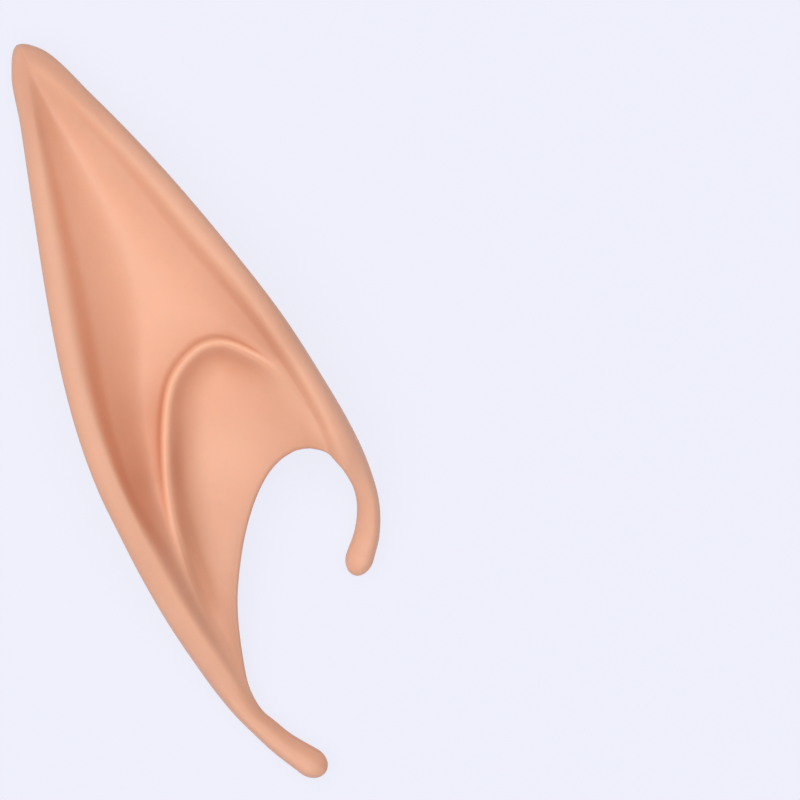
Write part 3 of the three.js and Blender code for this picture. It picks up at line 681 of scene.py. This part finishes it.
def shell_sections(form):
    """Closed sections of the hollow shell, one for each rib: over the rim and the front face
    to the cut-out, round the lip, into the pocket and out again, round the lip of the back
    wall and along the back to the outline. Arrays are ribs by points by x, y, z. The shares
    of the rib's length at which the face and the back were sampled come with them."""
    size = form.size
    parts = []

    half = HALF_RIB * form.width
    rim_end = np.minimum(size.rim_inset / form.slant, half)
    lip = form.width - size.wall / 2
    near, far = form.arch_on_ribs(rim_end, lip)
    round_over = 1 - np.cos(math.pi / 2 * steps(RIM_STEPS)[:, :-1])
    bowl = mix(far, lip, steps(BOWL_STEPS) ** CROWDING)
    over = np.hstack([
        rim_end * round_over,
        mix(rim_end, near, steps(FACE_STEPS)[:, :-1] ** CROWDING),
        mix(near, far, steps(ARCH_STEPS)[:, :-1]),
        bowl,
    ])
    x, y = form.on_ribs(over)
    face = form.front(x, y)
    parts.append((x, y, face))

    root = np.minimum(size.rim_solid / form.slant + size.tip_solid * form.tip, ROOT_LIMIT * form.width)
    roof_near = np.maximum(near, mix(root, lip, ROOF_NEAR))
    roof_far = np.maximum(far, mix(root, lip, ROOF_FAR))
    inward = np.hstack([
        mix(lip, roof_far, steps(ROOF_STEPS)),
        mix(roof_far, roof_near, steps(ROOT_STEPS, 1)),
        mix(roof_near, root, steps(ROOT_STEPS, 1)),
    ])
    x, y = form.on_ribs(inward)
    roof = form.roof(x, y)
    parts.append(half_round(form, lip, face[:, -1:], roof[:, :1]))
    parts.append((x[:, 1:], y[:, 1:], roof[:, 1:]))

    back_lip = form.width - np.minimum(size.mouth_recess, RECESS_LIMIT * form.width) - size.wall / 2
    outward = mix(root, back_lip, steps(POCKET_STEPS))
    floor_x, floor_y = form.on_ribs(outward)
    floor = form.pocket_floor(floor_x, floor_y)
    turn = math.pi * steps(ROOT_STEPS, 1)[:, :-1]
    root_x, root_y = form.on_ribs(root - POCKET_ROUND * np.sin(turn))
    parts.append((root_x, root_y, mix(roof[:, -1:], floor[:, :1], (1 - np.cos(turn)) / 2)))
    parts.append((floor_x, floor_y, floor))

    back_end = np.minimum(size.back_round / form.slant, half)
    back = np.hstack([
        mix(back_lip, back_end, steps(BACK_STEPS)),
        back_end * (1 - np.cos(math.pi / 2 * steps(RIM_STEPS, 1)[:, ::-1][:, 1:])),
    ])
    back_x, back_y = form.on_ribs(back)
    under = form.back(back_x, back_y)
    parts.append(half_round(form, back_lip, floor[:, -1:], under[:, :1]))
    parts.append((back_x[:, 1:], back_y[:, 1:], under[:, 1:]))
    x, y, z = (np.hstack([np.broadcast_to(part[i], part[2].shape) for part in parts]) for i in range(3))
    return np.stack([x, y, z], axis=-1), over / form.width, back[:, 1:] / form.width


def bulge(value, power):
    """A value raised to a power, with its own sign kept."""
    return np.sign(value) * np.abs(value) ** power


def tail_sections(form, over, under, count):
    """Closed sections of the solid tails: an oval with cosine and sine raised to a power,
    a little higher towards the outline. Its points lie straight over and under those of the
    shell's face and back, and the rest go round the nose at the cut-out, most of them in the
    middle of it."""
    top = np.arccos(bulge(2 * over - 1, 1 / TAIL_SQUARE))
    bottom = -np.arccos(bulge(2 * under - 1, 1 / TAIL_SQUARE))
    high, deep = top[:, -1:], bottom[:, :1]
    middle = count - over.shape[1] - under.shape[1] - 2 * LIP_STEPS
    turn = np.hstack([
        top,
        mix(high, NOSE_CORE * high, steps(LIP_STEPS, 1)),
        mix(NOSE_CORE * high, NOSE_CORE * deep, steps(middle + 1, 1)),
        mix(NOSE_CORE * deep, deep, steps(LIP_STEPS, 1)[:, :-1]),
        bottom,
    ])
    x, y = form.on_ribs(form.width / 2 * (1 + bulge(np.cos(turn), TAIL_SQUARE)))
    lean = mix(LOBE_LEAN, FRONT_LEAN, form.front_end)
    lean = 1 - lean * np.cos(turn) * np.maximum(np.sin(turn), 0)
    half = (form.top - form.bottom) / 2
    z = form.bottom + half + half * bulge(np.sin(turn), TAIL_SQUARE) * lean
    return np.stack([x, y, z], axis=-1)


def cap_rings(section, before, reach):
    """Rings that close a tail like a dome: the end section shrinks with the cosine and moves
    out with the sine of a quarter turn. Returned from the section outwards, with the pole."""
    centre = (section.min(axis=0) + section.max(axis=0)) / 2
    out = centre - (before.min(axis=0) + before.max(axis=0)) / 2
    out[2] = 0
    out /= np.linalg.norm(out)
    turn = (math.pi / 2 * np.arange(1, CAP_STEPS + 1) / (CAP_STEPS + 1))[:, None, None]
    rings = centre + (section - centre)[None] * np.cos(turn) + out * reach * np.sin(turn)
    return rings, centre + out * reach


def loft(count, around):
    """Quads between neighbouring rings of equal length, as vertex numbers."""
    ring = np.arange(count - 1)[:, None] * around
    here = np.arange(around)[None, :]
    there = (here + 1) % around
    return np.stack([ring + here, ring + there, ring + around + there, ring + around + here],
                    axis=-1).reshape(-1, 4)


def steepness(form, x, y):
    """One less the height of the front face's unit normal."""
    slope_x = form.relief(x + SLOPE_STEP, y, 1) - form.relief(x - SLOPE_STEP, y, 1)
    slope_y = form.relief(x, y + SLOPE_STEP, 1) - form.relief(x, y - SLOPE_STEP, 1)
    return 1 - 1 / np.sqrt(1 + (slope_x**2 + slope_y**2) / (2 * SLOPE_STEP) ** 2)


def painted_light_and_shade(form, sections, face_count):
    """Where the painted light and shade lie, from 0 to 1 on every point of the sections. hollow:
    painted warm bounce light, by the depth of the face below the rims. wall: painted shade by the
    steepness of the face, less in front of the crease, at the lobe and on the ridge. crest: painted
    highlight, a flat-topped band on the ridge and a bell curve along the rims' crests. The fourth,
    painted shade: the sum of the darker bands, which are bell curves outside the arch, just inside its
    rear leg and along the lower crease, a shade that grows round the paler middle of the bowl, one at
    the tip, and one on the inner half of the lobe tail."""
    size = form.size
    x, y, z = sections[..., 0], sections[..., 1], sections[..., 2]
    up = y / size.length
    upper = smooth(up, UPPER_FROM, UPPER_FULL)
    face = (np.arange(sections.shape[1]) < face_count)[None, :]
    shell = face * (1 - form.tail)
    from_outline = form.from_outline(x, y)
    inside = smooth(from_outline, size.rim_inset, 2 * size.rim_inset) * shell
    distance, side, share = nearest(form.arch, x, y)
    strength = form.strength(share)
    from_crease = x - form.section(y)["crease_x"]
    in_front = smooth(from_crease, -size.apron_width, size.apron_width)

    # hollow: painted warm bounce light, stronger the deeper the face lies below the rims
    depth = np.clip((form.crest(x, y) - z) / (size.depth / 2), 0, 1)
    hollow = depth * inside * smooth(up, HOLLOW_FROM, HOLLOW_FULL)

    # wall: painted shade on the steep walls, weaker in front of the crease, at the lobe and on the
    # ridge
    wall = smooth(steepness(form, x, y), WALL_FROM, WALL_FULL) * inside
    wall = wall * mix(1, FRONT_WALL, in_front) * mix(LOW_WALL, 1, upper)
    wall = wall * (1 - RIDGE_WALL * np.exp(-((distance / size.ridge_inner) ** 2)))

    # crest: painted highlight on the ridge's crest and along the rims' crests
    ridge = (1 - smooth(distance, size.ridge_outer * CREST_CORE, size.ridge_outer)) * strength
    rim = np.exp(-(((from_outline - size.crest_inset) / (size.wall / 2)) ** 2))
    rim = rim * np.maximum(in_front, 1 - upper)
    crest = np.maximum(ridge, RIM_CREST * rim) * shell

    # Painted shade in darker bands: outside the arch ridge, just inside its rear leg, along the lower
    # crease, round the bowl's middle, at the tip and on the lobe tail's inner half
    beside = smooth(distance, 0, size.ridge_outer)
    behind = 1 - smooth(from_crease, FRONT_FROM, CORNER_FROM)
    outside = mix(TOP_FOOT, LOW_FOOT, behind * (1 - smooth(up, TOP_FROM, TOP_FULL)))
    outside = outside + CORNER_FOOT * smooth(from_crease, CORNER_FROM, CORNER_FULL)
    outside = outside * np.exp(-((distance / size.foot_width) ** 2)) * beside * (side < 0)
    outside = outside * np.clip(strength * STRENGTH_GAIN, 0, 1)
    leg = LEG_SHADE * smooth(up, LEG_FROM, LEG_FULL) * (1 - smooth(up, LEG_LAST, LEG_END))
    leg = leg * behind * np.exp(-(((distance - size.ridge_inner) / size.ridge_inner) ** 2)) * (side > 0)
    low = LOW_SHADE * smooth(up, LOW_FROM, LOW_FULL) * (1 - smooth(up, LEG_FROM, LEG_LAST))
    low = low * np.exp(-((from_crease / size.apron_width) ** 2))
    middle_x, middle_y = BOWL_MIDDLE[0] * size.span, BOWL_MIDDLE[1] * size.length
    away = np.hypot(x - middle_x, y - middle_y) / size.bowl_side
    bowl = BOWL_SHADE * (1 - np.exp(-away * away)) * smooth(distance, 0, size.apron_width)
    bowl = bowl * (side > 0) * smooth(up, LOW_FULL, LEG_LAST)
    tip = TIP_SHADE * smooth(up, TIP_FROM, TIP_FULL) * smooth(from_outline, 0, size.rim_inset)
    across = np.hypot(x - form.outer[:, 0:1], y - form.outer[:, 1:2]) / form.width
    tail = TAIL_SHADE * smooth(across, TAIL_FROM, TAIL_FULL) * form.tail * (1 - form.front_end)
    last = face_count + LIP_STEPS + ROOF_STEPS + 2 * ROOT_STEPS
    front_wall = (np.arange(sections.shape[1]) < last)[None, :]
    # The painted shade bands summed on the front face and the pocket's roof, and the lobe tail's
    # painted shade on the tails
    painted_shade = np.clip(outside + leg + low + bowl + tip, 0, 1) * front_wall
    painted_shade = mix(painted_shade, tail, form.tail)
    return {"hollow": hollow, "wall": wall, "crest": crest, "painted_shade": painted_shade}


def ear_mesh(size):
    """The whole ear as one closed mesh with the painted light and shade as attributes on its points."""
    form = EarForm(size)
    shell, over, under = shell_sections(form)
    oval = tail_sections(form, over, under, shell.shape[1])
    sections = mix(shell, oval, form.tail[:, :, None])
    lobe, lobe_pole = cap_rings(sections[0], sections[1], size.lobe_cap)
    front, front_pole = cap_rings(sections[-1], sections[-2], size.front_cap)
    rings = np.concatenate([lobe[::-1], sections, front])
    count, around = rings.shape[:2]
    points = np.vstack([rings.reshape(-1, 3), lobe_pole, front_pole])
    low, high = points.min(axis=0), points.max(axis=0)
    points -= [(low[0] + high[0]) / 2, (low[1] + high[1]) / 2, low[2]]

    here = np.arange(around)
    there = (here + 1) % around
    first, last = len(points) - 2, len(points) - 1
    end = (count - 1) * around
    fans = np.vstack([
        np.stack([np.full(around, first), there, here], axis=-1),
        np.stack([np.full(around, last), end + here, end + there], axis=-1),
    ])
    mesh = bpy.data.meshes.new("ear_tip")
    mesh.from_pydata(points.tolist(), [], loft(count, around).tolist() + fans.tolist())
    mesh.polygons.foreach_set("use_smooth", np.ones(len(mesh.polygons), dtype=bool))

    for name, values in painted_light_and_shade(form, sections, over.shape[1]).items():
        whole = np.zeros(len(points), dtype=np.float32)
        whole[:count * around] = np.vstack([
            np.broadcast_to(values[0], lobe.shape[:2]), values,
            np.broadcast_to(values[-1], front.shape[:2]),
        ]).ravel()
        mesh.attributes.new(name, "FLOAT", "POINT").data.foreach_set("value", whole)
    mesh.update()
    return mesh


def add_node(tree, kind, place, **values):
    """A shader node at a place in the editor, with its properties set."""
    node = tree.nodes.new(kind)
    node.location = place
    for name, value in values.items():
        setattr(node, name, value)
    return node


def colour_mix(tree, place, share, a, b, blend="MIX"):
    """Mixes two colours. share, a and b are sockets or plain values."""
    node = add_node(tree, "ShaderNodeMix", place, data_type="RGBA", blend_type=blend)
    for socket, value in ((node.inputs[0], share), (node.inputs[6], a), (node.inputs[7], b)):
        if isinstance(value, bpy.types.NodeSocket):
            tree.links.new(value, socket)
        elif isinstance(value, (int, float)):
            socket.default_value = value
        else:
            socket.default_value = (*value, 1)
    return node.outputs[2]


def arithmetic(tree, place, operation, a, b, c=None):
    """A sum, product or other operation on sockets or plain numbers."""
    node = add_node(tree, "ShaderNodeMath", place, operation=operation)
    for socket, value in zip(node.inputs, (a, b, c)):
        if isinstance(value, bpy.types.NodeSocket):
            tree.links.new(value, socket)
        elif value is not None:
            socket.default_value = value
    return node.outputs[0]


def noise(tree, place, coordinates, scale, detail, rough=0.5):
    """Noise on the given coordinates, with its size as repeats in a metre."""
    node = add_node(tree, "ShaderNodeTexNoise", place)
    node.inputs["Scale"].default_value = scale
    node.inputs["Detail"].default_value = detail
    node.inputs["Roughness"].default_value = rough
    tree.links.new(coordinates, node.inputs["Vector"])
    return node.outputs["Fac"]


def latex_material(look):
    """Satin latex: peach skin with painted light and shade, a warmer painted bounce light in the
    hollows, painted shade on the steep walls and in the darker bands, and a painted highlight on the
    crests, clouded by two noises, with fine grain, pin pits and the broad unevenness of a casting as
    bump."""
    material = bpy.data.materials.new("peach_latex")
    material.use_nodes = True
    tree = material.node_tree
    shader = tree.nodes["Principled BSDF"]
    place = add_node(tree, "ShaderNodeTexCoord", (-1500, 0)).outputs["Object"]
    hollow = add_node(tree, "ShaderNodeAttribute", (-1500, 400), attribute_name="hollow")
    crest = add_node(tree, "ShaderNodeAttribute", (-1500, 250), attribute_name="crest")
    wall = add_node(tree, "ShaderNodeAttribute", (-1500, 550), attribute_name="wall")
    painted_shade = add_node(tree, "ShaderNodeAttribute", (-1500, 700), attribute_name="painted_shade")

    clouds = noise(tree, (-1250, 100), place, CLOUD_SCALE, detail=3)
    fine_clouds = noise(tree, (-1250, -80), place, FINE_CLOUD_SCALE, detail=4, rough=0.6)
    grain = noise(tree, (-1250, -300), place, GRAIN_SCALE, detail=3, rough=0.55)
    broad = noise(tree, (-1250, -480), place, BROAD_SCALE, detail=2)

    # Painted warm bounce light in the hollows
    tinted = colour_mix(tree, (-900, 450), hollow.outputs["Fac"], look.skin, look.hollow)
    # Painted shade multiplied in on the steep walls
    tinted = colour_mix(tree, (-860, 600), wall.outputs["Fac"], tinted, look.wall, "MULTIPLY")
    # Painted shade multiplied in along the darker bands
    tinted = colour_mix(tree, (-800, 520), painted_shade.outputs["Fac"], tinted, look.painted_shade, "MULTIPLY")
    # Painted highlight on the crests
    paler = colour_mix(tree, (-720, 450), crest.outputs["Fac"], tinted, look.crest)
    lift = arithmetic(tree, (-900, 150), "MULTIPLY_ADD", clouds, CLOUD_SHARE, DARKEST_CLOUD)
    lift = arithmetic(tree, (-720, 150), "MULTIPLY_ADD", fine_clouds, FINE_CLOUD_SHARE, lift)
    shade = add_node(tree, "ShaderNodeVectorMath", (-480, 400), operation="SCALE")
    tree.links.new(paler, shade.inputs[0])
    tree.links.new(lift, shade.inputs["Scale"])
    tree.links.new(shade.outputs[0], shader.inputs["Base Color"])

    smoothest = look.roughness - SATIN_SHARE / 2
    satin = arithmetic(tree, (-720, -60), "MULTIPLY_ADD", fine_clouds, SATIN_SHARE, smoothest)
    tree.links.new(satin, shader.inputs["Roughness"])

    pits = add_node(tree, "ShaderNodeTexVoronoi", (-1250, -700), feature="F1")
    pits.inputs["Scale"].default_value = PIT_SCALE
    tree.links.new(place, pits.inputs["Vector"])
    pit = add_node(tree, "ShaderNodeMapRange", (-1000, -700), interpolation_type="SMOOTHSTEP")
    pit.inputs["From Min"].default_value = PIT_BOTTOM
    pit.inputs["From Max"].default_value = PIT_RIM
    pit.inputs["To Min"].default_value = -1.0
    pit.inputs["To Max"].default_value = 0.0
    tree.links.new(pits.outputs["Distance"], pit.inputs["Value"])

    height = arithmetic(tree, (-820, -300), "MULTIPLY", grain, look.grain)
    height = arithmetic(tree, (-640, -400), "MULTIPLY_ADD", broad, look.uneven, height)
    height = arithmetic(tree, (-460, -500), "MULTIPLY_ADD", pit.outputs[0], look.grain, height)
    bump = add_node(tree, "ShaderNodeBump", (-240, -300))
    bump.inputs["Strength"].default_value = 1.0
    bump.inputs["Distance"].default_value = 1.0
    tree.links.new(height, bump.inputs["Height"])
    tree.links.new(bump.outputs["Normal"], shader.inputs["Normal"])

    shader.inputs["IOR"].default_value = 1.45
    shader.inputs["Specular IOR Level"].default_value = 0.4
    shader.inputs["Subsurface Weight"].default_value = 0.18
    shader.inputs["Subsurface Radius"].default_value = (1.0, 0.45, 0.25)
    shader.inputs["Subsurface Scale"].default_value = 0.0022
    return material


def floor_material(look):
    """Smooth pale board: one colour with the faintest clouding, almost matt."""
    material = bpy.data.materials.new("pale_board")
    material.use_nodes = True
    tree = material.node_tree
    shader = tree.nodes["Principled BSDF"]
    place = add_node(tree, "ShaderNodeTexCoord", (-900, 0)).outputs["Object"]
    clouds = noise(tree, (-700, 0), place, FLOOR_SCALE, detail=2)
    darker = [value * FLOOR_CLOUDING for value in look.floor]
    colour = colour_mix(tree, (-400, 100), clouds, look.floor, darker)
    tree.links.new(colour, shader.inputs["Base Color"])
    shader.inputs["Emission Color"].default_value = (*look.glow, 1)
    shader.inputs["Emission Strength"].default_value = 1.0
    shader.inputs["Roughness"].default_value = 0.9
    shader.inputs["Specular IOR Level"].default_value = 0.1
    return material


class EARTIP_OT_ear(bpy.types.Operator):
    """Builds the latex ear in place of the plain solid"""

    bl_idname = "eartip.ear"
    bl_label = "Build the ear"

    def execute(self, context):
        mesh = ear_mesh(context.scene.ear_sizes)
        ear = bpy.data.objects.new("ear_tip", mesh)
        context.scene.collection.objects.link(ear)
        mesh.materials.append(latex_material(context.scene.latex_look))
        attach(ear, "root")
        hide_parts(EAR_NODE)
        return {"FINISHED"}


class EARTIP_OT_stage(bpy.types.Operator):
    """Adds the floor, the soft lights and the camera above"""

    bl_idname = "eartip.stage"
    bl_label = "Build the stage"

    def execute(self, context):
        look = context.scene.stage_look
        add_floor(context, look)
        add_lights(context, look)
        add_camera(context, look)
        context.scene.view_settings.view_transform = "Standard"
        return {"FINISHED"}


class EARTIP_PT_panel(bpy.types.Panel):
    """Lists the ear's sizes and looks with the two build buttons"""

    bl_label = "Ear tip"
    bl_idname = "EARTIP_PT_panel"
    bl_space_type = "VIEW_3D"
    bl_region_type = "UI"
    bl_category = "Ear tip"

    def draw(self, context):
        for group in (context.scene.ear_sizes, context.scene.latex_look, context.scene.stage_look):
            box = self.layout.box()
            for name in group.__annotations__:
                box.prop(group, name)
        self.layout.operator(EARTIP_OT_ear.bl_idname)
        self.layout.operator(EARTIP_OT_stage.bl_idname)


def add_floor(context, look):
    """A large flat floor under the ear."""
    far = FLOOR_HALF
    mesh = bpy.data.meshes.new("floor")
    corners = [(-far, -far, 0), (far, -far, 0), (far, far, 0), (-far, far, 0)]
    mesh.from_pydata(corners, [], [(0, 1, 2, 3)])
    mesh.materials.append(floor_material(look))
    floor = bpy.data.objects.new("floor", mesh)
    context.scene.collection.objects.link(floor)


def turned(x, y):
    """A direction in the picture, x to its right and y to its top, on the floor."""
    c, s = math.cos(FRAME_TURN), math.sin(FRAME_TURN)
    return Vector((c * x - s * y, s * x + c * y, 0))


def add_lights(context, look):
    """Even light from all round, and a large soft light above, a little to the left."""
    world = bpy.data.worlds.new("studio")
    world.use_nodes = True
    background = world.node_tree.nodes["Background"]
    background.inputs["Color"].default_value = (*look.sky, 1)
    background.inputs["Strength"].default_value = look.fill
    context.scene.world = world

    key = bpy.data.lights.new("key", "AREA")
    key.shape = "DISK"
    key.size = KEY_SIZE
    key.energy = look.key
    lamp = bpy.data.objects.new("key", key)
    context.scene.collection.objects.link(lamp)
    lamp.location = turned(*KEY_PLACE) + Vector((0, 0, KEY_HEIGHT))
    lamp.rotation_mode = "QUATERNION"
    lamp.rotation_quaternion = (-lamp.location).to_track_quat("-Z", "Y")


def add_camera(context, look):
    """A long lens straight above, turned so that the ear leans as it does in the photograph."""
    size = context.scene.ear_sizes
    data = bpy.data.cameras.new("camera")
    data.lens = data.sensor_width * (look.camera_height - FOCUS_HEIGHT) / FRAME_WIDTH
    camera = bpy.data.objects.new("camera", data)
    context.scene.collection.objects.link(camera)
    middle_y = (FRAME_MIDDLE[1] - 0.5) * size.length
    camera.location = (FRAME_MIDDLE[0] * size.span, middle_y, look.camera_height)
    camera.rotation_euler = Euler((0, 0, FRAME_TURN))
    context.scene.camera = camera


CLASSES = (EarSizes, LatexLook, StageLook, EARTIP_OT_ear, EARTIP_OT_stage, EARTIP_PT_panel)


def register():
    """Registers the classes and hangs the settings on the scene."""
    for cls in CLASSES:
        bpy.utils.register_class(cls)
    bpy.types.Scene.ear_sizes = bpy.props.PointerProperty(type=EarSizes)
    bpy.types.Scene.latex_look = bpy.props.PointerProperty(type=LatexLook)
    bpy.types.Scene.stage_look = bpy.props.PointerProperty(type=StageLook)


def unregister():
    """Takes the settings and the classes away again."""
    del bpy.types.Scene.ear_sizes
    del bpy.types.Scene.latex_look
    del bpy.types.Scene.stage_look
    for cls in reversed(CLASSES):
        bpy.utils.unregister_class(cls)


def main():
    """Builds everything."""
    register()
    bpy.ops.eartip.ear()
    bpy.ops.eartip.stage()


if __name__ == "__main__":
    main()
